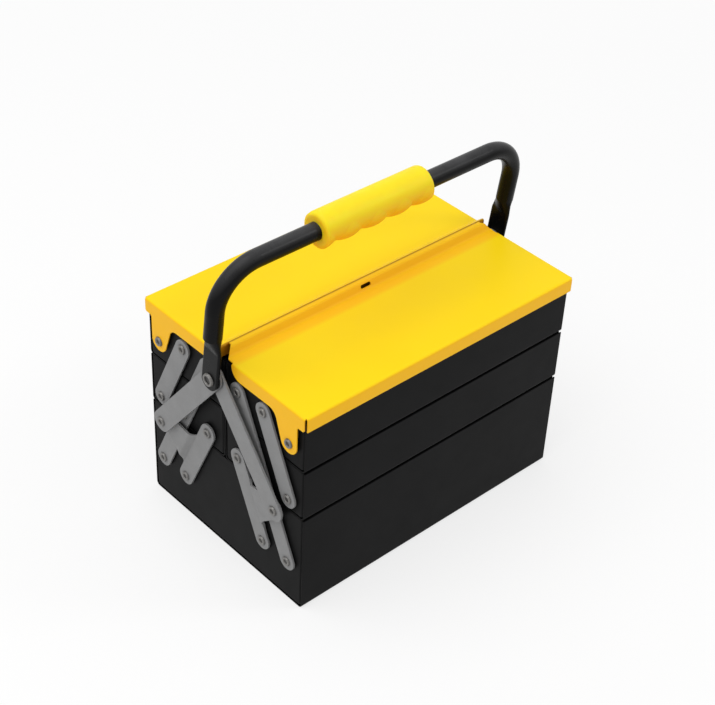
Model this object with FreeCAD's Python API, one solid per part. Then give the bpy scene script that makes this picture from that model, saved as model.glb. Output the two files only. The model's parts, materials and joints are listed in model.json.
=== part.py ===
"""Cantilever tool box: five sheet-metal trays on parallel links, two lids and a bail handle.

Millimetres, Z up, origin at the middle of the base's underside. X runs along the box, the front
faces -Y. Each end carries the same links, mirrored, and the back half mirrors the front half.
"""
import FreeCAD, Part
import math
import os

V = FreeCAD.Vector
ORIGIN = V(0, 0, 0)
X_AXIS = V(1, 0, 0)
Y_AXIS = V(0, 1, 0)

# Trays
body_length = 294.0
body_depth = 200.0
base_height = 98.0
mid_height = 49.5
top_height = 51.5
tray_gap = 0.5
parting_gap = 1.0
sheet = 1.0
bend_radius = 4.0
hem_height = 8.0
hem_clearance = 0.5
panel_flange = 12.0
panel_round = 2.5
corner_ease = 1.0

# Lids
lid_gap = 5.5
lid_overhang = 3.0
lid_flange = 13.0
lid_bend = 2.0
lid_slit = 1.0
lid_plate_lap = 9.0
ridge_height = 7.0
ridge_parting = 3.0
ridge_gap = 0.5
ridge_top = 4.5
ridge_run = 4.5
ridge_foot_radius = 5.0
ridge_crest_radius = 2.0
back_ridge_run = 8.5
back_ridge_radius = 6.0
back_edge_radius = 1.0
back_edge_flange = 11.0
lid_notch_depth = 10.0
lid_notch_half = 3.0
lid_notch_mouth_half = 11.5
lid_notch_round = 1.5
flange_inner = 13.0
flange_sweep = 11.0
ear_root_width = 17.4
ear_round = 9.5
lid_pivot_rise = 23.0
padlock_slot_length = 11.0
padlock_slot_height = 3.0
padlock_slot_drop = 3.2
padlock_slot_depth = 30.0

# Links and their pivots
inner_pivot = 20.0
outer_pivot_inset = 16.6
base_pivot_drop = 53.5
mid_pivot_rise = 14.8
link_width = 17.0
link_thickness = 2.0
link_standoff = 1.0
crank_along = 38.5
crank_reach = 41.0
crank_round = 7.0
crank_joggle_shares = (0.05, 0.42)
crank_bend = 2.0
crank_top_along = 56.3
crank_notch_round = 5.0
crank_foot_along = 20.5
crank_foot_round = 14.0
handle_link_width = 20.0
ear_clearance = 0.4
layer_gap = 0.3

# Rivets
shank_radius = 3.0
rivet_fit = 0.05
play = 0.05
spacer_radius = 5.5
head_radius = 4.4
head_tip_radius = 3.8
head_height = 1.5
dish_radius = 2.6
dish_floor_radius = 1.9
dish_depth = 0.8
inner_head_radius = 5.0
inner_head_height = 1.2

# Handle
handle_pivot_rise = 6.9
handle_lean = 7.0
handle_rise = 108.0
leg_offset = 15.0
handle_bend = 37.0
tube_radius = 7.7
foot_thickness = 3.6
foot_width = 20.0
foot_straight = 31.0
leg_round = 45.0
foot_gap = 0.4
pivot_radius = 3.5
pivot_dish_radius = 3.9
pivot_dish_floor_radius = 3.4
pivot_dish_depth = 1.2
pivot_head_radius = 6.0
pivot_tip_radius = 5.3
pivot_head_height = 2.0
pivot_inner_radius = 8.0
pivot_inner_height = 1.5
open_pivot_clearance = 1.9

# Grip
grip_start = -65.8
grip_length = 115.3
grip_radius = 14.3
grip_raise = 2.0
grip_fit = 0.1
grip_end_round = 4.0
knuckle_count = 5
knuckle_pitch = 27.2
knuckle_crest = 15.2
knuckle_valley = 12.3
knuckle_drop = 0.3
knuckle_end = 6.7

# Spare length of every cutting and clipping solid
overrun = 5.0

# Places worked out from the sizes above
end_x = body_length / 2
wall_y = body_depth / 2
mid_floor = base_height + tray_gap
top_floor = mid_floor + mid_height + tray_gap
top_rim = top_floor + top_height
lid_under = top_rim + lid_gap
lid_top = lid_under + sheet
lid_end = end_x + lid_overhang
lid_side = wall_y + lid_overhang
lid_hem = lid_top - lid_flange
half_sheet = sheet / 2

column_2 = wall_y - outer_pivot_inset
pivot_pitch = (column_2 - inner_pivot) / 2
column_1 = inner_pivot + pivot_pitch
base_pivot_z = base_height - base_pivot_drop
mid_pivot_z = mid_floor + mid_pivot_rise
link_rise = mid_pivot_z - base_pivot_z
top_pivot_z = mid_pivot_z + link_rise
link_length = math.hypot(pivot_pitch, link_rise)
link_spacing = pivot_pitch * link_rise / link_length
lid_pivot = V(-column_2, top_floor + lid_pivot_rise, 0)

layer_a = link_standoff
head_seat = layer_a + link_thickness + play
ear_layer = head_seat + head_height + ear_clearance
layer_b = ear_layer + link_thickness + layer_gap
layer_c = layer_b + link_thickness + layer_gap
foot_layer = layer_c + link_thickness + foot_gap
pivot_head_seat = foot_layer + foot_thickness + play
handle_pivot_z = top_pivot_z + handle_pivot_rise
handle_pivot = V(0, handle_pivot_z, 0)


def yz(x):
    """The plane at x, taking (y, z)."""
    return lambda p: V(x, p.x, p.y)


def xz(y):
    """The plane at y, taking (x, z)."""
    return lambda p: V(p.x, y, p.y)


def xy(z):
    """The plane at z, taking (x, y)."""
    return lambda p: V(p.x, p.y, z)


def left_of(direction):
    return V(-direction.y, direction.x, 0)


def rounded_face(plane, corners):
    """A face inside a loop of (point, radius) corners, each rounded by a tangent arc."""
    stretches = []
    count = len(corners)
    for i, (point, radius) in enumerate(corners):
        arriving = (point - corners[i - 1][0]).normalize()
        leaving = (corners[(i + 1) % count][0] - point).normalize()
        turn = arriving.getAngle(leaving)
        reach = radius * math.tan(turn / 2)
        middle = None
        if radius > 0:
            inward = (leaving - arriving).normalize()
            middle = point + inward * (radius / math.cos(turn / 2) - radius)
        stretches.append((point - arriving * reach, middle, point + leaving * reach))
    edges = []
    for i, (start, middle, end) in enumerate(stretches):
        if middle is not None:
            edges.append(Part.Arc(plane(start), plane(middle), plane(end)).toShape())
        following = stretches[(i + 1) % count][0]
        if end.distanceToPoint(following) > Part.Precision.confusion():
            edges.append(Part.LineSegment(plane(end), plane(following)).toShape())
    return Part.Face(Part.Wire(edges))


def bent_sheet(plane, path, radii, thickness=sheet):
    """The cross-section of a sheet bent along a path, with one mid-sheet radius for each inner corner."""
    half = thickness / 2
    sides = ([], [])
    for i, point in enumerate(path):
        first = path[max(i - 1, 0)]
        last = path[min(i + 1, len(path) - 1)]
        arriving = (point - first).normalize() if i else (last - point).normalize()
        leaving = (last - point).normalize() if i < len(path) - 1 else arriving
        normals = left_of(arriving) + left_of(leaving)
        mitre = normals * (1 / (1 + left_of(arriving).dot(left_of(leaving))))
        bend = math.copysign(1, left_of(arriving).dot(leaving))
        inner = 0 < i < len(path) - 1
        for side, sign in zip(sides, (1, -1)):
            radius = radii[i - 1] - sign * bend * half if inner else 0
            side.append((point + mitre * (sign * half), radius))
    return rounded_face(plane, sides[0] + sides[1][::-1])


def block(x_range, y_range, z_range):
    low = V(x_range[0], y_range[0], z_range[0])
    return Part.makeBox(x_range[1] - low.x, y_range[1] - low.y, z_range[1] - low.z, low)


def rod(start, direction, radius, length):
    return Part.makeCylinder(radius, length, start, direction)


def clean(shape):
    return shape.removeSplitter()


def mirrored(shape, half, end):
    """A piece drawn at the front right, moved to its half and its end."""
    if half == "back":
        shape = shape.mirror(ORIGIN, Y_AXIS)
    if end == "left":
        shape = shape.mirror(ORIGIN, X_AXIS)
    return shape


def save(name, solids):
    """Writes a node from its solids."""
    group = []
    for solid in solids:
        group += solid.Solids
    shape = group[0] if len(group) == 1 else Part.makeCompound(group)
    shape.exportStep("parts/%s.step" % name)


# Trays: a wrap bent in a U and two flanged end panels

def tray_wrap(y_range, floor, height):
    """Front wall, floor and back wall of a tray in one bent sheet, with hems along both rims."""
    rim = floor + height
    near, far = y_range[0] + half_sheet, y_range[1] - half_sheet
    path = [V(near, rim, 0), V(near, floor + half_sheet, 0),
            V(far, floor + half_sheet, 0), V(far, rim, 0)]
    middle_radius = bend_radius - half_sheet
    section = bent_sheet(yz(-end_x), path, [middle_radius, middle_radius])
    wrap = section.extrude(X_AXIS * body_length)
    hem_x = (-end_x + sheet + hem_clearance, end_x - sheet - hem_clearance)
    hem_z = (rim - hem_height, rim)
    near_hem = block(hem_x, (y_range[0] + sheet, y_range[0] + sheet + sheet), hem_z)
    far_hem = block(hem_x, (y_range[1] - sheet - sheet, y_range[1] - sheet), hem_z)
    return clean(wrap.fuse([near_hem, far_hem]))


def panel_block(y_range, z_range, x_range, corner, edge_round):
    """A prism with rounded lower corners whose outer edge is rounded on the sides and below."""
    face = rounded_face(yz(x_range[0]), [
        (V(y_range[0], z_range[1], 0), 0), (V(y_range[0], z_range[0], 0), corner),
        (V(y_range[1], z_range[0], 0), corner), (V(y_range[1], z_range[1], 0), 0)])
    prism = face.extrude(X_AXIS * (x_range[1] - x_range[0]))
    tolerance = Part.Precision.confusion()
    outer = [e for e in prism.Edges if abs(e.BoundBox.XMin - x_range[1]) < tolerance
             and e.BoundBox.ZMin < z_range[1] - tolerance]
    return prism.makeFillet(edge_round, outer)


def end_panel(y_range, floor, height, pivots):
    """The right end of a tray: a plate with flanges inside the wrap, a hem and its rivet holes."""
    rim = floor + height
    seat = (y_range[0] + sheet, y_range[1] - sheet)
    hollow = (seat[0] + sheet, seat[1] - sheet)
    corner = bend_radius - sheet + corner_ease
    outer = panel_block(seat, (floor + sheet, rim), (end_x - panel_flange, end_x), corner, panel_round)
    inner = panel_block(hollow, (floor + sheet + sheet, rim + overrun),
                        (end_x - panel_flange - overrun, end_x - sheet),
                        corner - sheet, panel_round - sheet)
    above_flanges = block((end_x - panel_flange - overrun, end_x - sheet),
                          (y_range[0], y_range[1]),
                          (rim - hem_height - hem_clearance, rim + overrun))
    hem = block((end_x - sheet - sheet, end_x - sheet),
                (hollow[0] + hem_clearance, hollow[1] - hem_clearance), (rim - hem_height, rim))
    holes = [rod(V(end_x - sheet - overrun, p.x, p.y), X_AXIS, shank_radius + rivet_fit,
                 sheet + overrun + overrun) for p in pivots]
    return clean(outer.cut([inner, above_flanges]).fuse(hem)).cut(holes)


# Rivets: turned shapes of stepped radius along X, with a coned and dished outer head

link_head = (head_tip_radius, dish_radius, dish_floor_radius, dish_depth)
pivot_head = (pivot_tip_radius, pivot_dish_radius, pivot_dish_floor_radius, pivot_dish_depth)


def rivet(pivot, steps, head):
    """A rivet at the right end; steps are (start, end, radius), counted outwards from the wall."""
    tip = steps[-1][1]
    tip_radius, mouth_radius, floor_radius, depth = head
    corners = [(V(steps[0][0], 0, 0), 0)]
    for start, end, radius in steps:
        corners += [(V(start, radius, 0), 0), (V(end, radius, 0), 0)]
    corners[-1:] = [(V(tip, tip_radius, 0), 0), (V(tip, mouth_radius, 0), 0),
                    (V(tip - depth, floor_radius, 0), 0), (V(tip - depth, 0, 0), 0)]

    def plane(p):
        return V(end_x + p.x, pivot.x, pivot.y + p.y)

    axis_point = V(0, pivot.x, pivot.y)
    return rounded_face(plane, corners).revolve(axis_point, X_AXIS, 360)


def link_rivet(pivot):
    """Fixed in a tray's end panel, with a spacer and then a shank for a link to turn on."""
    return rivet(pivot, [
        (-sheet - inner_head_height, -sheet, inner_head_radius),
        (-sheet, 0, shank_radius),
        (0, layer_a - play, spacer_radius),
        (layer_a - play, head_seat, shank_radius),
        (head_seat, head_seat + head_height, head_radius)], link_head)


def lid_rivet(pivot):
    """Fixed in a top tray's end panel, with a spacer that carries the lid's ear clear of the wall."""
    spacer = lid_overhang - sheet - play
    seat = lid_overhang + play
    return rivet(pivot, [
        (-sheet - inner_head_height, -sheet, inner_head_radius),
        (-sheet, 0, shank_radius),
        (0, spacer, spacer_radius),
        (spacer, seat, shank_radius),
        (seat, seat + head_height, head_radius)], link_head)


def crank_rivet(pivot, layer):
    """Joins a crank's ear to the handle link that lies at the given layer."""
    seat = layer + link_thickness + play
    return rivet(pivot, [
        (ear_layer - inner_head_height, ear_layer, inner_head_radius),
        (ear_layer, ear_layer + link_thickness, shank_radius),
        (ear_layer + link_thickness, layer - play, spacer_radius),
        (layer - play, seat, shank_radius),
        (seat, seat + head_height, head_radius)], link_head)


def handle_rivet():
    """The rivet through both handle links and the handle's foot."""
    inner = layer_b - play
    tip = pivot_head_seat + pivot_head_height
    return rivet(handle_pivot, [
        (inner - pivot_inner_height, inner, pivot_inner_radius),
        (inner, pivot_head_seat, pivot_radius),
        (pivot_head_seat, tip, pivot_head_radius)], pivot_head)


# Links

def link_frame(start, end):
    """Unit vectors along a link and out to its left, in (y, z)."""
    along = (end - start).normalize()
    return along, left_of(along)


def strip_link(pivots, width, layer, hole_radii):
    """A straight strip with round ends and a hole at each pivot."""
    along, left = link_frame(pivots[0], pivots[-1])
    radius = width / 2
    corners = [(pivots[0] - along * radius + left * radius, radius),
               (pivots[0] - along * radius - left * radius, radius),
               (pivots[-1] + along * radius - left * radius, radius),
               (pivots[-1] + along * radius + left * radius, radius)]
    strip = rounded_face(yz(end_x + layer), corners).extrude(X_AXIS * link_thickness)
    holes = [rod(V(end_x + layer - overrun, p.x, p.y), X_AXIS, r, link_thickness + overrun + overrun)
             for p, r in zip(pivots, hole_radii)]
    return strip.cut(holes)


def crank_pivot(start, end):
    """Where the ear of a lower link carries the handle link."""
    along, left = link_frame(start, end)
    return start + along * crank_along + left * crank_reach


def lower_link(start, end):
    """The lower link: a strip with an ear on its outer side, joggled outwards over the long link."""
    along, left = link_frame(start, end)
    radius = link_width / 2
    tip = crank_reach + crank_round
    outline = [(-radius, -radius, radius), (link_length + radius, -radius, radius),
               (link_length + radius, radius, radius),
               (crank_top_along, radius, crank_notch_round),
               (crank_along + crank_round, tip, crank_round),
               (crank_along - crank_round, tip, crank_round),
               (crank_foot_along, radius, crank_foot_round),
               (-radius, radius, radius)]
    corners = [(start + along * s + left * q, r) for s, q, r in outline]
    plan = rounded_face(yz(end_x), corners).extrude(X_AXIS * (ear_layer + link_thickness + overrun))
    low = layer_a + link_thickness / 2
    high = ear_layer + link_thickness / 2
    free_gap = link_spacing - link_width
    rise_start, rise_end = (radius + free_gap * share for share in crank_joggle_shares)
    path = [V(-radius - overrun, low, 0), V(rise_start, low, 0),
            V(rise_end, high, 0), V(tip + overrun, high, 0)]
    foot = start - along * (radius + overrun)

    def section_plane(p):
        spot = foot + left * p.x
        return V(end_x + p.y, spot.x, spot.y)

    section = bent_sheet(section_plane, path, [crank_bend, crank_bend], link_thickness)
    run = along * (link_length + radius + radius + overrun + overrun)
    joggled = section.extrude(V(0, run.x, run.y))
    holes = [rod(V(end_x, p.x, p.y), X_AXIS, shank_radius + rivet_fit, ear_layer + link_thickness + overrun)
             for p in (start, end, crank_pivot(start, end))]
    return clean(joggled.common(plan)).cut(holes)


# Lids

def tangent_on_circle(point, centre, radius):
    """The point where a line from point, passing centre on its right, touches the circle."""
    away = point - centre
    swing = math.acos(radius / away.Length)
    direction = math.atan2(away.y, away.x) - swing
    return centre + V(math.cos(direction), math.sin(direction), 0) * radius


def lid_end_flange():
    """The front lid's right end: flange with hinge ear, bent down from the plate."""
    side = lid_side - sheet - lid_slit
    ear_inner = V(ear_root_width - column_2, lid_hem, 0)
    ear_tangent = tangent_on_circle(ear_inner, lid_pivot, ear_round)
    low = lid_pivot.y - ear_round
    slope = (ear_tangent - ear_inner).normalize()
    ear_low = ear_inner + slope * ((low - ear_inner.y) / slope.y)
    ear_outer = lid_pivot.x - ear_round
    outline = rounded_face(yz(end_x - lid_plate_lap), [
        (V(-flange_inner, lid_top + overrun, 0), 0),
        (V(-side, lid_top + overrun, 0), 0),
        (V(-side, lid_hem, 0), lid_bend),
        (V(ear_outer, lid_hem, 0), lid_bend),
        (V(ear_outer, low, 0), ear_round),
        (ear_low, ear_round),
        (ear_inner, ear_round),
        (V(-flange_inner, lid_hem, 0), flange_sweep)])
    prism = outline.extrude(X_AXIS * (lid_overhang + lid_plate_lap + overrun))
    path = [V(lid_end - half_sheet, lid_pivot.y - ear_round - overrun, 0),
            V(lid_end - half_sheet, lid_top - half_sheet, 0),
            V(end_x - lid_plate_lap, lid_top - half_sheet, 0)]
    section = bent_sheet(xz(-side - overrun), path, [lid_bend - half_sheet])
    bent = section.extrude(Y_AXIS * (side + overrun))
    hole = rod(V(end_x, lid_pivot.x, lid_pivot.y), X_AXIS, shank_radius + rivet_fit,
               lid_overhang + overrun)
    return bent.common(prism).cut(hole)


def padlock_slot():
    """The cutter of the slot through both raised edges, for a padlock's shackle."""
    middle = lid_top + ridge_height - padlock_slot_drop
    half_length = padlock_slot_length / 2
    radius = padlock_slot_height / 2
    slot = rounded_face(xz(ridge_parting - padlock_slot_depth / 2), [
        (V(-half_length, middle - radius, 0), radius), (V(half_length, middle - radius, 0), radius),
        (V(half_length, middle + radius, 0), radius), (V(-half_length, middle + radius, 0), radius)])
    return slot.extrude(Y_AXIS * padlock_slot_depth)


def lid(path, radii, half):
    """A lid: plate, outer flange and raised inner edge in one bent sheet, with its end flanges."""
    plate_end = lid_end - lid_bend
    section = bent_sheet(yz(-plate_end), path, radii)
    plate = section.extrude(X_AXIS * (plate_end + plate_end))
    flanges = [mirrored(lid_end_flange(), half, end) for end in ("left", "right")]
    return clean(plate.fuse(flanges)).cut(padlock_slot())


def handle_notch():
    """The cutter of the notch beside the handle's right foot, widening towards the lid's end."""
    notch_x = lid_end - lid_notch_depth
    mouth_x = lid_end + overrun
    mouth_half = lid_notch_mouth_half + (lid_notch_mouth_half - lid_notch_half) * overrun / lid_notch_depth
    notch = rounded_face(xy(lid_under - overrun), [
        (V(mouth_x, ridge_parting - mouth_half, 0), 0), (V(mouth_x, ridge_parting + mouth_half, 0), 0),
        (V(notch_x, ridge_parting + lid_notch_half, 0), lid_notch_round),
        (V(notch_x, ridge_parting - lid_notch_half, 0), lid_notch_round)])
    return notch.extrude(V(0, 0, ridge_height + sheet + overrun + overrun))


def front_lid():
    """The front lid, notched at both ends for the handle."""
    level = lid_top - half_sheet
    crest = level + ridge_height
    edge = ridge_parting - ridge_gap / 2
    outer = -lid_side + half_sheet
    path = [V(outer, lid_hem, 0), V(outer, level, 0), V(edge - ridge_top - ridge_run, level, 0),
            V(edge - ridge_top, crest, 0), V(edge, crest, 0)]
    shell = lid(path, [lid_bend - half_sheet, ridge_foot_radius, ridge_crest_radius], "front")
    return shell.cut([mirrored(handle_notch(), "front", end) for end in ("left", "right")])


def back_lid():
    """The back lid, whose inner edge is turned down inside the front lid's."""
    level = lid_top - half_sheet
    crest = level + ridge_height
    edge = ridge_parting + ridge_gap / 2 + half_sheet
    outer = lid_side - half_sheet
    path = [V(outer, lid_hem, 0), V(outer, level, 0), V(edge + back_ridge_run, level, 0),
            V(edge, crest, 0), V(edge, crest - back_edge_flange, 0)]
    return lid(path, [lid_bend - half_sheet, back_ridge_radius, back_edge_radius], "back")


# Handle

def leaned(shape):
    """Leans a piece of the upright handle to the front, about its rivets."""
    shape.rotate(V(0, handle_pivot.x, handle_pivot.y), X_AXIS, handle_lean)
    return shape


def handle_foot():
    """The flattened foot at the right end, swelling into the round leg."""
    radius = foot_width / 2
    top = handle_pivot_z + foot_straight
    inner_x = end_x + foot_layer
    outer_x = inner_x + foot_thickness
    side_round = foot_thickness / 2
    flat = rounded_face(xy(top), [(V(x, y, 0), side_round) for x, y in (
        (inner_x, -radius), (outer_x, -radius), (outer_x, radius), (inner_x, radius))])
    strip = flat.extrude(V(0, 0, -foot_straight - radius))
    outline = rounded_face(yz(inner_x), [
        (V(-radius, handle_pivot_z - radius, 0), radius), (V(radius, handle_pivot_z - radius, 0), radius),
        (V(radius, top, 0), 0), (V(-radius, top, 0), 0)]).extrude(X_AXIS * foot_thickness)
    centre = V(end_x + leg_offset, 0, handle_pivot_z + leg_round)
    turns = [math.atan2(v.Y, v.X - inner_x - side_round) for v in flat.OuterWire.OrderedVertexes]

    def on_leg(angle):
        return centre + V(math.cos(angle), math.sin(angle), 0) * tube_radius

    arcs = []
    for start, end in zip(turns, turns[1:] + turns[:1]):
        swing = math.remainder(end - start, math.tau)
        arcs.append(Part.Arc(on_leg(start), on_leg(start + swing / 2), on_leg(end)).toShape())
    swell = Part.makeLoft([flat.OuterWire, Part.Wire(arcs)], True, True)
    hole = rod(V(inner_x - overrun, handle_pivot.x, handle_pivot.y), X_AXIS,
               pivot_radius + rivet_fit, foot_thickness + overrun + overrun)
    return strip.common(outline).cut(hole).fuse(swell)


def handle_tube():
    """The bail: one bent round tube with its two flattened feet."""
    leg_x = end_x + leg_offset
    low = handle_pivot_z + leg_round
    high = handle_pivot_z + handle_rise
    turn = handle_bend * (1 - math.sqrt(2) / 2)
    bend_x = leg_x - handle_bend
    bend_z = high - handle_bend
    points = [V(-leg_x, 0, low), V(-leg_x, 0, bend_z), V(turn - leg_x, 0, high - turn),
              V(-bend_x, 0, high), V(bend_x, 0, high), V(leg_x - turn, 0, high - turn),
              V(leg_x, 0, bend_z), V(leg_x, 0, low)]
    path = Part.Wire([
        Part.LineSegment(points[0], points[1]).toShape(),
        Part.Arc(points[1], points[2], points[3]).toShape(),
        Part.LineSegment(points[3], points[4]).toShape(),
        Part.Arc(points[4], points[5], points[6]).toShape(),
        Part.LineSegment(points[6], points[7]).toShape()])
    ring = Part.Wire(Part.makeCircle(tube_radius, points[0], V(0, 0, 1)))
    tube = path.makePipeShell([ring], True, False)
    foot = handle_foot()
    return leaned(clean(tube.fuse([foot, foot.mirror(ORIGIN, X_AXIS)])))


def knuckle_row(axis_start):
    """A turned row of knuckles, one arc each, along the grip's axis."""
    crest_x = grip_length - knuckle_end
    first = crest_x - knuckle_pitch * (knuckle_count - 1) - knuckle_pitch / 2

    def plane(p):
        return axis_start + V(p.x, 0, -p.y)

    edges = []
    for i in range(knuckle_count):
        start = first + knuckle_pitch * i
        edges.append(Part.Arc(plane(V(start, knuckle_valley, 0)),
                              plane(V(start + knuckle_pitch / 2, knuckle_crest, 0)),
                              plane(V(start + knuckle_pitch, knuckle_valley, 0))).toShape())
    last = first + knuckle_pitch * knuckle_count
    ends = [V(last, knuckle_valley, 0), V(last, 0, 0), V(first, 0, 0), V(first, knuckle_valley, 0)]
    for start, end in zip(ends, ends[1:]):
        edges.append(Part.LineSegment(plane(start), plane(end)).toShape())
    return Part.Face(Part.Wire(edges)).revolve(axis_start, X_AXIS, 360)


def round_ended(start, radius):
    """A rod as long as the grip with rounded ends."""
    bar = rod(start, X_AXIS, radius, grip_length)
    return bar.makeFillet(grip_end_round, [e for e in bar.Edges if e.Closed])


def handle_grip():
    """The plastic grip: a sleeve round the tube with a row of finger knuckles underneath."""
    start = V(grip_start, 0, handle_pivot_z + handle_rise)
    sleeve = round_ended(start + V(0, 0, grip_raise), grip_radius)
    low = start - V(0, 0, knuckle_drop)
    knuckles = knuckle_row(low).common(round_ended(low, knuckle_crest + corner_ease))
    bore = rod(start - X_AXIS * overrun, X_AXIS, tube_radius + grip_fit, grip_length + overrun + overrun)
    return leaned(clean(sleeve.fuse(knuckles)).cut(bore))


# Pivot places of the front half, in (y, z)
base_pivots = [V(-column_1, base_pivot_z, 0), V(-column_2, base_pivot_z, 0)]
mid_pivots = [V(-column, mid_pivot_z, 0) for column in (column_2, column_1, inner_pivot)]
top_pivots = [V(-column, top_pivot_z, 0) for column in (column_1, inner_pivot)]


def across(pivots):
    """The same pivots on both halves."""
    return pivots + [V(-p.x, p.y, 0) for p in pivots]


def build_base():
    y_range = (-wall_y, wall_y)
    pivots = across(base_pivots)
    save("base_wrap", [tray_wrap(y_range, 0, base_height)])
    panel = end_panel(y_range, 0, base_height, pivots)
    for end in ("left", "right"):
        save("base_end_" + end, [mirrored(panel, "front", end)])
    save("base_rivets", [mirrored(link_rivet(p), "front", end)
                         for p in pivots for end in ("left", "right")])


def build_tray(name, half, floor, height, pivots, hinge_pivots):
    """An upper tray of one half with its end panels and rivets."""
    y_range = (-wall_y, -parting_gap / 2)
    save("%s_%s_wrap" % (half, name), [mirrored(tray_wrap(y_range, floor, height), half, "right")])
    panel = end_panel(y_range, floor, height, pivots + hinge_pivots)
    rivets = [link_rivet(p) for p in pivots] + [lid_rivet(p) for p in hinge_pivots]
    for end in ("left", "right"):
        save("%s_%s_end_%s" % (half, name, end), [mirrored(panel, half, end)])
    save("%s_%s_rivets" % (half, name), [mirrored(r, half, end)
                                         for r in rivets for end in ("left", "right")])


def build_links(half, handle_layer, handle_hole):
    """The four links of one half at each end, and the rivets of their cranks."""
    fit = shank_radius + rivet_fit
    crank = crank_pivot(base_pivots[0], mid_pivots[2])
    links = {
        "upper_link": strip_link([mid_pivots[0], top_pivots[0]], link_width, layer_a, [fit, fit]),
        "long_link": strip_link([base_pivots[1], mid_pivots[1], top_pivots[1]], link_width, layer_a,
                                [fit, fit, fit]),
        "lower_link": lower_link(base_pivots[0], mid_pivots[2]),
        "handle_link": strip_link([crank, handle_pivot], handle_link_width, handle_layer,
                                  [fit, handle_hole])}
    ends = ("left", "right")
    for name, link in links.items():
        for end in ends:
            save("%s_%s_%s" % (half, name, end), [mirrored(link, half, end)])
    save("%s_crank_rivets" % half, [mirrored(crank_rivet(crank, handle_layer), half, end) for end in ends])


def build_handle():
    save("handle_tube", [handle_tube()])
    save("handle_grip", [handle_grip()])
    save("handle_rivets", [mirrored(handle_rivet(), "front", end) for end in ("left", "right")])


os.makedirs("parts", exist_ok=True)
build_base()
for half in ("front", "back"):
    build_tray("mid", half, mid_floor, mid_height, mid_pivots, [])
    build_tray("top", half, top_floor, top_height, top_pivots, [lid_pivot])
build_links("front", layer_b, pivot_radius + rivet_fit)
build_links("back", layer_c, pivot_radius + open_pivot_clearance)
save("front_lid", [front_lid()])
save("back_lid", [back_lid()])
build_handle()
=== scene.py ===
"""Finishes and stage of a cantilever tool box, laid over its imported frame.

Metres, Z up, the front faces -Y. Every node keeps its CAD shape and gets its finish here.
Among the finishes' values, tones are multiples of a piece's colour, depths say how much of a tone is
laid on, and spans and slopes say between which values of a pattern or a slope it comes in.
"""

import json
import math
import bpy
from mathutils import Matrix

bl_info = {
    "name": "Cantilever Tool Box",
    "version": (1, 0, 0),
    "blender": (4, 5, 0),
    "location": "View3D > Sidebar > Tool Box",
    "description": "Paint, coated steel, grip plastic and stage of a cantilever tool box",
    "category": "Object",
}

import bmesh
import bpy
from bpy.props import FloatProperty, FloatVectorProperty, PointerProperty
from mathutils import Quaternion, Vector

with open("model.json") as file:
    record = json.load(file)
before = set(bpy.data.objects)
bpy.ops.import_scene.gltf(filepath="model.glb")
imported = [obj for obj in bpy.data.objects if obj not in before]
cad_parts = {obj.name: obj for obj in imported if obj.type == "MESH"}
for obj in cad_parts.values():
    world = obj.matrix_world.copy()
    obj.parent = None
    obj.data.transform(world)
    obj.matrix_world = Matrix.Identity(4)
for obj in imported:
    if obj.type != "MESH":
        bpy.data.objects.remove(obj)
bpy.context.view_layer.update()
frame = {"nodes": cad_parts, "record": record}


def nodes_of_slot(slot):
    """The CAD objects that the record gives this finish."""
    return [frame["nodes"][part["node"]] for part in frame["record"]["subparts"]
            if part["material_slot"] == slot]


# Settings that a user would change

def colour(name, description, default):
    return FloatVectorProperty(name=name, description=description, subtype="COLOR", size=3,
                               min=0.0, max=1.0, default=default)


def length(name, description, default):
    return FloatProperty(name=name, description=description, subtype="DISTANCE", unit="LENGTH",
                         min=0.0, default=default)


def film_length(name, description, default):
    return FloatProperty(name=name, description=description, subtype="DISTANCE_CAMERA", unit="CAMERA",
                         min=0.0, default=default)


def power(name, description, default):
    return FloatProperty(name=name, description=description, subtype="POWER", unit="POWER",
                         min=0.0, default=default)


def share(name, description, default):
    return FloatProperty(name=name, description=description, subtype="FACTOR", min=0.0, max=1.0,
                         default=default)


def angle(name, description, degrees):
    return FloatProperty(name=name, description=description, subtype="ANGLE",
                         default=math.radians(degrees))


def place(name, description, default):
    return FloatVectorProperty(name=name, description=description, subtype="TRANSLATION", size=3,
                               default=default)


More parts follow.
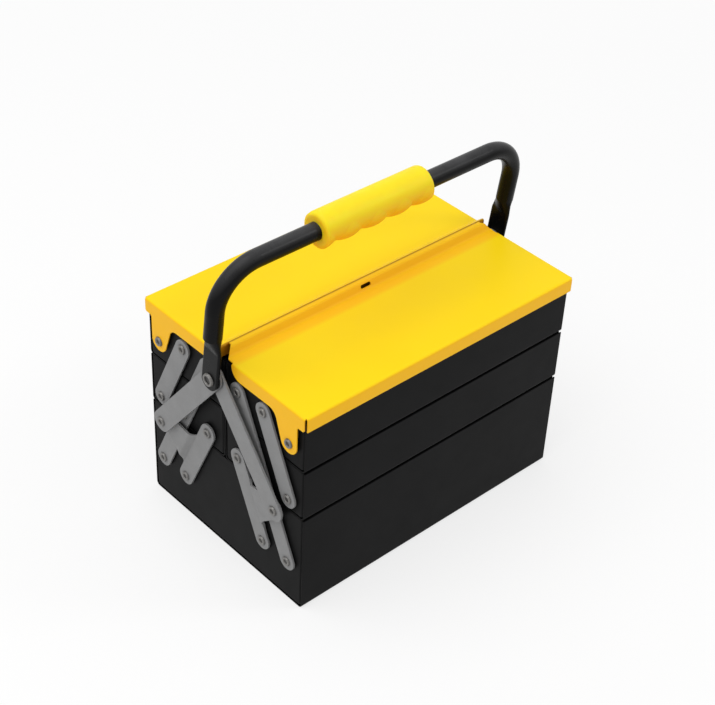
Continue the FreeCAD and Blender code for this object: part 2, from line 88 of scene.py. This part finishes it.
class ToolBoxFinishes(bpy.types.PropertyGroup):
    """Colours of the finishes, and the sizes of what they show"""
    tray_black: colour("Tray black", "Powder coat of the trays", (0.0068, 0.0068, 0.0070))
    # Painted shade: the lids' yellow on their tops and the deeper tone on steep faces are lit and
    # shaded copies of one paint.
    lid_yellow: colour("Lid yellow", "Powder coat of the lids on their tops", (1.0, 0.70, 0.006))
    lid_shade_amber: colour("Lid amber", "Powder coat of the lids on steep faces", (1.0, 0.535, 0.008))
    # Painted shade: a deeper tone laid in the lids' folds, where less light reaches.
    fold_shade_amber: colour("Fold amber", "Powder coat of the lids in folds", (0.93, 0.42, 0.006))
    # Painted shade: brown laid in the lids' gaps, where shade falls.
    lid_shade_brown: colour("Lid brown", "Tone of the lids deep in gaps", (0.38, 0.13, 0.004))
    link_grey: colour("Link grey", "Coated steel of the links", (0.256, 0.256, 0.257))
    # Rivet grey is a little warm: a faint painted reflection of the yellow lids.
    rivet_grey: colour("Rivet grey", "Coated steel of the rivets", (0.20, 0.194, 0.186))
    handle_black: colour("Handle black", "Enamel of the handle tube", (0.0034, 0.0034, 0.0036))
    # Lighter upper side of the tube: partly a dusty film, partly a painted sheen.
    handle_dust_sheen: colour("Handle dust", "Dusty upper side of the tube", (0.055, 0.055, 0.057))
    grip_yellow: colour("Grip yellow", "Plastic of the grip", (1.0, 0.75, 0.014))
    # Painted shade: the grip's underside takes a deeper tone.
    grip_shade_amber: colour("Grip amber", "Plastic of the grip's underside", (1.0, 0.43, 0.010))
    peel_size: length("Peel size", "Spacing of the powder coat's fine ripples", 0.0011)
    drift_size: length("Drift size", "Spacing of the paint's slow drifts of tone", 0.06)
    edge_ease: length("Edge ease", "Rounding that paint gives to a cut sheet edge", 0.0005)
    # Painted shade: gaps narrower than this reach are darkened in tone.
    hollow_reach: length("Hollow reach", "How wide a gap may be to gather grime", 0.0022)
    # Painted shade: folds up to this width take the fold tone.
    fold_reach: length("Fold reach", "How wide a fold in the lids looks deeper in tone", 0.014)
    # Painted shade: the ridge's front slope, this far before the middle, is laid in a deeper tone.
    ridge_front: length("Ridge front", "How far the ridge reaches before the middle", 0.014)
    # Painted shade: a dark brown line laid along the lids' parting gap.
    seam_place: length("Seam place", "Where the lids part, behind the middle", 0.0036)
    seam_half: length("Seam half", "Half width of the dark line along the parting", 0.0020)


class ToolBoxStage(bpy.types.PropertyGroup):
    """Camera, floor and light"""
    aim: place("Aim", "Point in the middle of the picture", (0.00475, 0.00686, 0.13071))
    distance: length("Distance", "From the camera to the aim", 1.4175)
    heading: angle("Heading", "Turn of the view from +Y towards +X", 43.707)
    elevation: angle("Elevation", "How far the view looks down", 37.578)
    roll: angle("Roll", "Tilt of the picture about the view", 2.883)
    lens: film_length("Lens", "Focal length in millimetres", 82.08)
    film: film_length("Film", "Width of the film in millimetres", 36.0)
    floor_white: colour("Floor white", "Colour of the floor", (0.97, 0.97, 0.97))
    floor_width: length("Floor width", "Side of the square floor", 14.0)
    floor_glow: share("Floor glow", "How far the floor near the box is lifted to white", 0.7)
    fade_start: length("Fade start", "From the middle to where the floor begins to fade", 0.5)
    fade_stop: length("Fade stop", "From the middle to where the floor is quite white", 2.0)
    room_light: share("Room light", "Strength of the even light from all round", 0.56)
    key_place: place("Key place", "Middle of the large lamp overhead", (-0.7, 0.25, 2.0))
    key_width: length("Key width", "Side of the large lamp", 2.0)
    key_power: power("Key power", "Power of the large lamp", 24.0)
    streak_place: place("Streak place", "Middle of the small lamp for the tube", (1.0, -1.0, 1.35))
    streak_width: length("Streak width", "Side of the small lamp", 0.38)
    streak_power: power("Streak power", "Power of the small lamp", 4.0)


def finish_settings():
    return bpy.context.scene.tool_box_finishes


def stage_settings():
    return bpy.context.scene.tool_box_stage


# What the finishes are made with

NOISE_SPAN = (0.3, 0.7)
EDGE_SPAN = (0.80, 0.985)
CREASE_SPAN = (0.44, 0.499)
EDGE_SAMPLES = 4
HOLLOW_SAMPLES = 8


class Finish:
    """A node material with one Principled shader, and short calls that add to it."""

    def __init__(self, name):
        self.material = bpy.data.materials.new(name)
        self.material.use_nodes = True
        self.tree = self.material.node_tree
        self.shader = self.tree.nodes["Principled BSDF"]
        self.coordinates = self.add("ShaderNodeTexCoord")
        self.place = self.coordinates.outputs["Object"]

    def add(self, kind, **values):
        node = self.tree.nodes.new(kind)
        for key, value in values.items():
            setattr(node, key, value)
        return node

    def link(self, output, socket):
        self.tree.links.new(output, socket)

    def drive(self, name, output):
        """Feeds one of the shader's inputs."""
        self.link(output, self.shader.inputs[name])

    def even(self, name, value):
        """Sets one of the shader's inputs to the same value all over."""
        self.shader.inputs[name].default_value = value

    def noise(self, spacing, detail=2.0):
        """A noise of that spacing, from 0 to 1."""
        node = self.add("ShaderNodeTexNoise")
        node.inputs["Scale"].default_value = 1 / spacing
        node.inputs["Detail"].default_value = detail
        self.link(self.place, node.inputs["Vector"])
        return node.outputs["Fac"]

    def spread(self, value, low, high, span=NOISE_SPAN):
        """Maps a pattern from its span to the range from low to high."""
        node = self.add("ShaderNodeMapRange")
        limits = {"From Min": span[0], "From Max": span[1], "To Min": low, "To Max": high}
        for name, limit in limits.items():
            node.inputs[name].default_value = limit
        self.link(value, node.inputs["Value"])
        return node.outputs["Result"]

    def times(self, first, second):
        node = self.add("ShaderNodeMath", operation="MULTIPLY")
        self.link(first, node.inputs[0])
        self.link(second, node.inputs[1])
        return node.outputs["Value"]

    def colour_mix(self, factor):
        """A colour mix by a pattern: its two colour inputs and its result."""
        node = self.add("ShaderNodeMix", data_type="RGBA")
        self.link(factor, node.inputs["Factor"])
        first, second = (s for s in node.inputs if s.type == "RGBA")
        return first, second, next(s for s in node.outputs if s.type == "RGBA")

    def drift(self, base, spacing, tones, detail=3.0):
        """A colour that drifts between a dark and a light tone of the base."""
        dark, light = (tint(base, tone) for tone in tones)
        first, second, result = self.colour_mix(self.spread(self.noise(spacing, detail), 0.0, 1.0))
        first.default_value = (*dark, 1.0)
        second.default_value = (*light, 1.0)
        return result

    def over(self, base, *layers):
        """Lays plain colours over a base in turn, each where its mask is 1."""
        for mask, plain in layers:
            first, second, result = self.colour_mix(mask)
            self.link(base, first)
            second.default_value = (*plain, 1.0)
            base = result
        return base

    def eased_edges(self, radius):
        """Normals that turn round the sharp edges of a cut sheet."""
        node = self.add("ShaderNodeBevel", samples=EDGE_SAMPLES)
        node.inputs["Radius"].default_value = radius
        return node.outputs["Normal"]

    def edge_patches(self, eased, spacing, depths, span):
        """Patches along the edges that the eased normals turn round, and 0 on the flats."""
        patches = self.spread(self.noise(spacing), *depths, span)
        geometry = self.add("ShaderNodeNewGeometry")
        dot = self.add("ShaderNodeVectorMath", operation="DOT_PRODUCT")
        self.link(eased, dot.inputs[0])
        self.link(geometry.outputs["Normal"], dot.inputs[1])
        return self.times(self.spread(dot.outputs["Value"], 1.0, 0.0, EDGE_SPAN), patches)

    def hollows(self, reach, depth, span):
        """Painted shade: from 0 in the open to depth in corners and gaps narrower than the reach,
        found by ambient occlusion.
        """
        node = self.add("ShaderNodeAmbientOcclusion", samples=HOLLOW_SAMPLES)
        node.inputs["Distance"].default_value = reach
        return self.spread(node.outputs["AO"], depth, 0.0, span)

    def creases(self, depth):
        """Painted shade: from 0 on rims and flats to depth in inner corners, as round a small dish's
        floor.
        """
        geometry = self.add("ShaderNodeNewGeometry")
        return self.spread(geometry.outputs["Pointiness"], depth, 0.0, CREASE_SPAN)

    def rise(self):
        """How far the surface faces up in the piece's own space, from -1 to 1."""
        normal = self.add("ShaderNodeSeparateXYZ")
        self.link(self.coordinates.outputs["Normal"], normal.inputs["Vector"])
        return normal.outputs["Z"]

    def band_along_x(self, front, back, soft_front, soft_back, depth):
        """From depth between two places on Y to 0 past soft borders beside them."""
        spot = self.add("ShaderNodeSeparateXYZ")
        self.link(self.place, spot.inputs["Vector"])
        across = spot.outputs["Y"]
        rising = self.spread(across, 0.0, depth, (front - soft_front, front))
        return self.times(rising, self.spread(across, 1.0, 0.0, (back, back + soft_back)))

    def gloss(self, spacing, roughness, specular, detail=4.0):
        """Roughness that drifts between two values, with an even specular level."""
        self.drive("Roughness", self.spread(self.noise(spacing, detail), *roughness))
        self.even("Specular IOR Level", specular)

    def grain(self, spacing, height, strength, normal=None, detail=2.0):
        """Normals of a fine uneven skin, laid over other normals where they are given."""
        node = self.add("ShaderNodeBump")
        node.inputs["Distance"].default_value = height
        node.inputs["Strength"].default_value = strength
        self.link(self.noise(spacing, detail), node.inputs["Height"])
        if normal is not None:
            self.link(normal, node.inputs["Normal"])
        return node.outputs["Normal"]


def tint(base, tone):
    return tuple(min(1.0, channel * tone) for channel in base)


def paint(objects, material):
    """Makes this the only material of these objects."""
    for item in objects:
        item.data.materials.clear()
        item.data.materials.append(material)


# Powder coat of trays and lids

WEAR_SIZE = 0.004
WEAR_DEPTHS = (0.0, 0.35)
WEAR_SPAN = (0.45, 0.75)
COAT_GLOSS_SIZE = 0.015
PEEL_HEIGHT = 0.00006
PEEL_STRENGTH = 0.35
PEELS_PER_SWELL = 14
SWELL_HEIGHT = 0.00008
SWELL_STRENGTH = 0.2


def powder_coat(coat, paint_out, bare, roughness, specular):
    """Gives a finish the skin of baked powder paint: orange peel, drifting gloss and thin edges."""
    settings = finish_settings()
    eased = coat.eased_edges(settings.edge_ease)
    worn = coat.edge_patches(eased, WEAR_SIZE, WEAR_DEPTHS, WEAR_SPAN)
    coat.drive("Base Color", coat.over(paint_out, (worn, bare)))
    coat.gloss(COAT_GLOSS_SIZE, roughness, specular)
    peel = coat.grain(settings.peel_size, PEEL_HEIGHT, PEEL_STRENGTH, eased)
    swell_size = settings.peel_size * PEELS_PER_SWELL
    coat.drive("Normal", coat.grain(swell_size, SWELL_HEIGHT, SWELL_STRENGTH, peel, detail=1.0))
    return coat.material


# Trays

TRAY_TONES = (0.9, 1.15)
# Painted shade: the black is darkened in gaps and corners that the ambient occlusion finds.
TRAY_SHADE_DEPTH = 0.7
TRAY_SHADE_SPAN = (0.35, 0.95)
TRAY_SHADE_TONE = 0.4
TRAY_WORN_TONE = 3.0
TRAY_ROUGHNESS = (0.42, 0.48)
TRAY_SPECULAR = 0.045


def tray_coat():
    """Satin black paint with slow drifts of tone, painted shade that darkens it in gaps, and greyer on
    worn edges.
    """
    settings = finish_settings()
    black = tuple(settings.tray_black)
    coat = Finish("tray_coat")
    paint_out = coat.drift(black, settings.drift_size, TRAY_TONES)
    shade = coat.hollows(settings.hollow_reach, TRAY_SHADE_DEPTH, TRAY_SHADE_SPAN)
    paint_out = coat.over(paint_out, (shade, tint(black, TRAY_SHADE_TONE)))
    return powder_coat(coat, paint_out, tint(black, TRAY_WORN_TONE), TRAY_ROUGHNESS, TRAY_SPECULAR)


class TOOLBOX_OT_trays(bpy.types.Operator):
    """Paints the five trays in satin black"""
    bl_idname = "toolbox.trays"
    bl_label = "Trays"

    def execute(self, context):
        paint(nodes_of_slot("tray_black"), tray_coat())
        return {"FINISHED"}


# Lids

LID_TONES = (0.985, 1.015)
# Painted shade: steep faces of the lids take the deeper tone in place of the yellow.
LID_SLOPES = (0.35, 0.97)
# Painted shade: a band of deeper tone along the ridge's front slope, soft at its front edge.
RIDGE_DEPTH = 0.75
RIDGE_SOFT_FRONT = 0.005
RIDGE_SOFT_BACK = 0.0005
# Painted shade: folds found by wide ambient occlusion take the fold tone.
FOLD_DEPTH = 0.9
FOLD_SPAN = (0.55, 0.96)
# Painted shade: gaps found by ambient occlusion take the brown.
LID_GAP_DEPTH = 0.9
LID_GAP_SPAN = (0.45, 0.9)
# Painted shade: the brown line along the parting, placed by position.
SEAM_DEPTH = 0.78
LID_WORN_TONE = 0.85
LID_ROUGHNESS = (0.38, 0.46)
LID_SPECULAR = 0.13


def lid_coat():
    """Satin yellow paint with painted shade: deeper amber on steep faces, on the ridge's front slope
    and in folds, and painted brown shade in gaps and along the parting line.
    """
    settings = finish_settings()
    amber = tuple(settings.lid_shade_amber)
    brown = tuple(settings.lid_shade_brown)
    seam = settings.seam_place
    soft = settings.seam_half / 2
    coat = Finish("lid_coat")
    # Each mask below lays painted shade over the paint: steep faces, the ridge's front slope, folds,
    # gaps and the parting line.
    steep = coat.spread(coat.rise(), 1.0, 0.0, LID_SLOPES)
    ridge = coat.band_along_x(-settings.ridge_front, seam - settings.seam_half,
                              RIDGE_SOFT_FRONT, RIDGE_SOFT_BACK, RIDGE_DEPTH)
    folds = coat.hollows(settings.fold_reach, FOLD_DEPTH, FOLD_SPAN)
    gaps = coat.hollows(settings.hollow_reach, LID_GAP_DEPTH, LID_GAP_SPAN)
    parting = coat.band_along_x(seam - soft, seam + soft, soft, soft, SEAM_DEPTH)
    paint_out = coat.over(coat.drift(tuple(settings.lid_yellow), settings.drift_size, LID_TONES),
                          (steep, amber), (ridge, amber), (folds, tuple(settings.fold_shade_amber)),
                          (gaps, brown), (parting, brown))
    return powder_coat(coat, paint_out, tint(amber, LID_WORN_TONE), LID_ROUGHNESS, LID_SPECULAR)


class TOOLBOX_OT_lids(bpy.types.Operator):
    """Paints both lids in yellow"""
    bl_idname = "toolbox.lids"
    bl_label = "Lids"

    def execute(self, context):
        paint(nodes_of_slot("lid_yellow"), lid_coat())
        return {"FINISHED"}


# Links and rivets

CLOUD_SIZE = 0.012
CLOUD_TONES = (0.95, 1.05)
SPECK_SIZE = 0.0009
SPECK_DEPTHS = (0.0, 0.5)
SPECK_SPAN = (0.68, 0.78)
SPECK_TONE = 0.6
# Lighter edges on links and rivets: partly wear, partly a painted highlight along the edges.
WEAR_GLINT_SIZE = 0.003
WEAR_GLINT_DEPTHS = (0.1, 0.8)
WEAR_GLINT_SPAN = (0.4, 0.65)
WEAR_GLINT_TONE = 1.9
# Painted shade: hollows and the floors of the rivets' dishes are darkened.
HOLLOW_SHADE_SPAN = (0.45, 0.97)
HOLLOW_SHADE_TONE = 0.15
CREASE_SHADE_TONE = 0.1
STEEL_GLOSS_SIZE = 0.003
STEEL_SPECULAR = 0.25
STEEL_GRAIN_SIZE = 0.0006
STEEL_GRAIN_HEIGHT = 0.00003
STEEL_GRAIN_STRENGTH = 0.3

LINK_ROUGHNESS = (0.5, 0.65)
LINK_METALLIC = 0.15
LINK_SHADE_DEPTH = 0.7
RIVET_ROUGHNESS = (0.3, 0.42)
RIVET_METALLIC = 0.5
RIVET_SHADE_DEPTH = 0.9


def coated_steel(name, grey, roughness, metallic, hollow_shade_depth):
    """Dull grey coated steel: cloudy, finely specked, bright on edges with wear and a painted
    highlight, and darkened with painted shade in hollows and dish floors.
    """
    settings = finish_settings()
    plate = Finish(name)
    eased = plate.eased_edges(settings.edge_ease)
    specks = plate.spread(plate.noise(SPECK_SIZE, detail=1.0), *SPECK_DEPTHS, SPECK_SPAN)
    edge_patches = plate.edge_patches(eased, WEAR_GLINT_SIZE, WEAR_GLINT_DEPTHS, WEAR_GLINT_SPAN)
    hollow_shade = plate.hollows(settings.hollow_reach, hollow_shade_depth, HOLLOW_SHADE_SPAN)
    plate.drive("Base Color", plate.over(
        plate.drift(grey, CLOUD_SIZE, CLOUD_TONES, detail=4.0),
        (specks, tint(grey, SPECK_TONE)), (edge_patches, tint(grey, WEAR_GLINT_TONE)),
        (hollow_shade, tint(grey, HOLLOW_SHADE_TONE)), (plate.creases(hollow_shade_depth), tint(grey, CREASE_SHADE_TONE))))
    plate.gloss(STEEL_GLOSS_SIZE, roughness, STEEL_SPECULAR, detail=5.0)
    plate.even("Metallic", metallic)
    grain = plate.grain(STEEL_GRAIN_SIZE, STEEL_GRAIN_HEIGHT, STEEL_GRAIN_STRENGTH, eased)
    plate.drive("Normal", grain)
    return plate.material


class TOOLBOX_OT_links(bpy.types.Operator):
    """Coats the sixteen links"""
    bl_idname = "toolbox.links"
    bl_label = "Links"

    def execute(self, context):
        grey = tuple(finish_settings().link_grey)
        coat = coated_steel("link_coat", grey, LINK_ROUGHNESS, LINK_METALLIC, LINK_SHADE_DEPTH)
        paint(nodes_of_slot("link_steel"), coat)
        return {"FINISHED"}


class TOOLBOX_OT_rivets(bpy.types.Operator):
    """Coats the rivets on which everything turns"""
    bl_idname = "toolbox.rivets"
    bl_label = "Rivets"

    def execute(self, context):
        grey = tuple(finish_settings().rivet_grey)
        coat = coated_steel("rivet_coat", grey, RIVET_ROUGHNESS, RIVET_METALLIC, RIVET_SHADE_DEPTH)
        paint(nodes_of_slot("rivet_steel"), coat)
        return {"FINISHED"}


# Handle tube and grip

ENAMEL_DRIFT_SIZE = 0.03
ENAMEL_TONES = (0.8, 1.3)
# Dusty film and painted sheen: the tube is lighter where it faces up.
DUST_SHEEN_SLOPES = (0.3, 0.95)
DUST_SHEEN_SIZE = 0.02
DUST_SHEEN_DEPTHS = (0.6, 1.0)
ENAMEL_GLOSS_SIZE = 0.01
ENAMEL_ROUGHNESS = (0.24, 0.34)
ENAMEL_SPECULAR = 0.09
ENAMEL_SKIN_SIZE = 0.0016
ENAMEL_SKIN_HEIGHT = 0.00005
ENAMEL_SKIN_STRENGTH = 0.25

GRIP_DRIFT_SIZE = 0.03
GRIP_TONES = (0.97, 1.03)
# Painted shade: the deeper tone comes in as the surface turns to face down.
GRIP_SLOPES = (-0.55, 0.62)
GRIP_GLOSS_SIZE = 0.004
GRIP_ROUGHNESS = (0.42, 0.55)
GRIP_SPECULAR = 0.22
GRIP_SCATTER = 0.6
GRIP_SCATTER_REACH = 0.008
GRIP_SCATTER_SHARES = (1.0, 0.45, 0.12)
GRIP_GRAIN_SIZE = 0.0007
GRIP_GRAIN_HEIGHT = 0.00005
GRIP_GRAIN_STRENGTH = 0.3


def handle_enamel():
    """Glossier black enamel with a slightly uneven skin, lighter on its upper side, partly a dusty
    film and partly a painted sheen.
    """
    settings = finish_settings()
    coat = Finish("handle_enamel")
    enamel = coat.drift(tuple(settings.handle_black), ENAMEL_DRIFT_SIZE, ENAMEL_TONES)
    dust_and_sheen = coat.times(coat.spread(coat.rise(), 0.0, 1.0, DUST_SHEEN_SLOPES),
                      coat.spread(coat.noise(DUST_SHEEN_SIZE, detail=4.0), *DUST_SHEEN_DEPTHS))
    coat.drive("Base Color", coat.over(enamel, (dust_and_sheen, tuple(settings.handle_dust_sheen))))
    coat.gloss(ENAMEL_GLOSS_SIZE, ENAMEL_ROUGHNESS, ENAMEL_SPECULAR)
    eased = coat.eased_edges(settings.edge_ease)
    coat.drive("Normal", coat.grain(ENAMEL_SKIN_SIZE, ENAMEL_SKIN_HEIGHT, ENAMEL_SKIN_STRENGTH, eased))
    return coat.material


def grip_plastic():
    """Soft moulded plastic with a fine matt grain, with painted shade: a deeper tone where it faces
    down.
    """
    settings = finish_settings()
    skin = Finish("grip_plastic")
    plastic = skin.drift(tuple(settings.grip_yellow), GRIP_DRIFT_SIZE, GRIP_TONES)
    underside = skin.spread(skin.rise(), 1.0, 0.0, GRIP_SLOPES)
    skin.drive("Base Color", skin.over(plastic, (underside, tuple(settings.grip_shade_amber))))
    skin.gloss(GRIP_GLOSS_SIZE, GRIP_ROUGHNESS, GRIP_SPECULAR)
    skin.even("Subsurface Weight", GRIP_SCATTER)
    skin.even("Subsurface Radius", GRIP_SCATTER_SHARES)
    skin.even("Subsurface Scale", GRIP_SCATTER_REACH)
    skin.drive("Normal", skin.grain(GRIP_GRAIN_SIZE, GRIP_GRAIN_HEIGHT, GRIP_GRAIN_STRENGTH))
    return skin.material


class TOOLBOX_OT_handle(bpy.types.Operator):
    """Enamels the handle tube and finishes its grip"""
    bl_idname = "toolbox.handle"
    bl_label = "Handle"

    def execute(self, context):
        paint(nodes_of_slot("handle_black"), handle_enamel())
        paint(nodes_of_slot("grip_yellow"), grip_plastic())
        return {"FINISHED"}


# Stage

FLOOR_DRIFT_SIZE = 0.5
FLOOR_TONES = (0.995, 1.005)
FLOOR_ROUGHNESS = 0.9
FLOOR_SPECULAR = 0.1
ROOM_COLOUR = (1.0, 1.0, 1.0, 1.0)


def seen_or_mirrored(tree):
    """1 for the rays of the camera and of mirrors and glass, 0 for those that carry light."""
    path = tree.nodes.new("ShaderNodeLightPath")
    seen = path.outputs["Is Camera Ray"]
    for ray in ("Is Glossy Ray", "Is Transmission Ray"):
        either = tree.nodes.new("ShaderNodeMath")
        either.operation = "MAXIMUM"
        tree.links.new(seen, either.inputs[0])
        tree.links.new(path.outputs[ray], either.inputs[1])
        seen = either.outputs["Value"]
    return seen


def floor_paper(stage):
    """Matt paper, lifted towards white where it is seen, with a faint shadow and no far edge."""
    sweep = Finish("floor_paper")
    sweep.drive("Base Color", sweep.drift(tuple(stage.floor_white), FLOOR_DRIFT_SIZE, FLOOR_TONES))
    sweep.even("Roughness", FLOOR_ROUGHNESS)
    sweep.even("Specular IOR Level", FLOOR_SPECULAR)
    away = sweep.add("ShaderNodeVectorMath", operation="LENGTH")
    sweep.link(sweep.place, away.inputs[0])
    fade = (stage.fade_start, stage.fade_stop)
    lift = sweep.spread(away.outputs["Value"], stage.floor_glow, 1.0, fade)
    glow = sweep.add("ShaderNodeEmission")
    mix = sweep.add("ShaderNodeMixShader")
    sweep.link(sweep.times(seen_or_mirrored(sweep.tree), lift), mix.inputs["Fac"])
    sweep.link(sweep.shader.outputs["BSDF"], mix.inputs[1])
    sweep.link(glow.outputs["Emission"], mix.inputs[2])
    sweep.link(mix.outputs["Shader"], sweep.tree.nodes["Material Output"].inputs["Surface"])
    return sweep.material


def lay_floor(stage):
    """A pale floor under the box."""
    shape = bmesh.new()
    bmesh.ops.create_grid(shape, x_segments=1, y_segments=1, size=stage.floor_width / 2)
    mesh = bpy.data.meshes.new("floor")
    shape.to_mesh(mesh)
    shape.free()
    mesh.materials.append(floor_paper(stage))
    floor = bpy.data.objects.new("floor", mesh)
    bpy.context.scene.collection.objects.link(floor)


def light_room(strength):
    """An even pale room: white where it is seen or mirrored, softer as light."""
    world = bpy.data.worlds.new("pale_room")
    bpy.context.scene.world = world
    world.use_nodes = True
    tree = world.node_tree
    tree.nodes.clear()
    soft, white = (tree.nodes.new("ShaderNodeBackground") for _ in range(2))
    for background, level in ((soft, strength), (white, 1.0)):
        background.inputs["Color"].default_value = ROOM_COLOUR
        background.inputs["Strength"].default_value = level
    mix = tree.nodes.new("ShaderNodeMixShader")
    output = tree.nodes.new("ShaderNodeOutputWorld")
    tree.links.new(seen_or_mirrored(tree), mix.inputs["Fac"])
    tree.links.new(soft.outputs["Background"], mix.inputs[1])
    tree.links.new(white.outputs["Background"], mix.inputs[2])
    tree.links.new(mix.outputs["Shader"], output.inputs["Surface"])


def soft_box(name, spot, aim, width, energy):
    """A square area lamp that faces the aim."""
    lamp = bpy.data.lights.new(name, "AREA")
    lamp.shape = "SQUARE"
    lamp.size = width
    lamp.energy = energy
    holder = bpy.data.objects.new(name, lamp)
    bpy.context.scene.collection.objects.link(holder)
    holder.location = spot
    holder.rotation_euler = (aim - Vector(spot)).to_track_quat("-Z", "Y").to_euler()


def set_camera(stage, aim):
    """The camera at the photograph's view."""
    level = math.cos(stage.elevation)
    view = Vector((math.sin(stage.heading) * level, math.cos(stage.heading) * level,
                   -math.sin(stage.elevation)))
    camera = bpy.data.cameras.new("camera")
    camera.sensor_fit = "HORIZONTAL"
    camera.sensor_width = stage.film
    camera.lens = stage.lens
    holder = bpy.data.objects.new("camera", camera)
    bpy.context.scene.collection.objects.link(holder)
    holder.location = aim - view * stage.distance
    turned = view.to_track_quat("-Z", "Y") @ Quaternion((0.0, 0.0, 1.0), stage.roll)
    holder.rotation_euler = turned.to_euler()
    bpy.context.scene.camera = holder


class TOOLBOX_OT_stage(bpy.types.Operator):
    """Lays the floor, hangs the lights and sets the camera at the photograph's view"""
    bl_idname = "toolbox.stage"
    bl_label = "Stage"

    def execute(self, context):
        stage = stage_settings()
        aim = Vector(stage.aim)
        context.scene.view_settings.view_transform = "Standard"
        lay_floor(stage)
        light_room(stage.room_light)
        soft_box("key_light", stage.key_place, aim, stage.key_width, stage.key_power)
        soft_box("streak_light", stage.streak_place, aim, stage.streak_width, stage.streak_power)
        set_camera(stage, aim)
        return {"FINISHED"}


# Add-on

class TOOLBOX_PT_panel(bpy.types.Panel):
    """Lists the steps that finish the tool box"""
    bl_idname = "TOOLBOX_PT_panel"
    bl_label = "Tool Box"
    bl_space_type = "VIEW_3D"
    bl_region_type = "UI"
    bl_category = "Tool Box"

    def draw(self, context):
        for step in STEPS:
            self.layout.operator(step.bl_idname)
        for settings in (finish_settings(), stage_settings()):
            box = self.layout.box()
            for name in settings.__annotations__:
                box.prop(settings, name)


STEPS = (TOOLBOX_OT_trays, TOOLBOX_OT_lids, TOOLBOX_OT_links, TOOLBOX_OT_rivets, TOOLBOX_OT_handle,
         TOOLBOX_OT_stage)
CLASSES = (ToolBoxFinishes, ToolBoxStage, *STEPS, TOOLBOX_PT_panel)


def register():
    for item in CLASSES:
        bpy.utils.register_class(item)
    bpy.types.Scene.tool_box_finishes = PointerProperty(type=ToolBoxFinishes)
    bpy.types.Scene.tool_box_stage = PointerProperty(type=ToolBoxStage)


def unregister():
    del bpy.types.Scene.tool_box_finishes
    del bpy.types.Scene.tool_box_stage
    for item in reversed(CLASSES):
        bpy.utils.unregister_class(item)


def main():
    register()
    for step in STEPS:
        group, name = step.bl_idname.split(".")
        getattr(getattr(bpy.ops, group), name)()


if __name__ == "__main__":
    main()
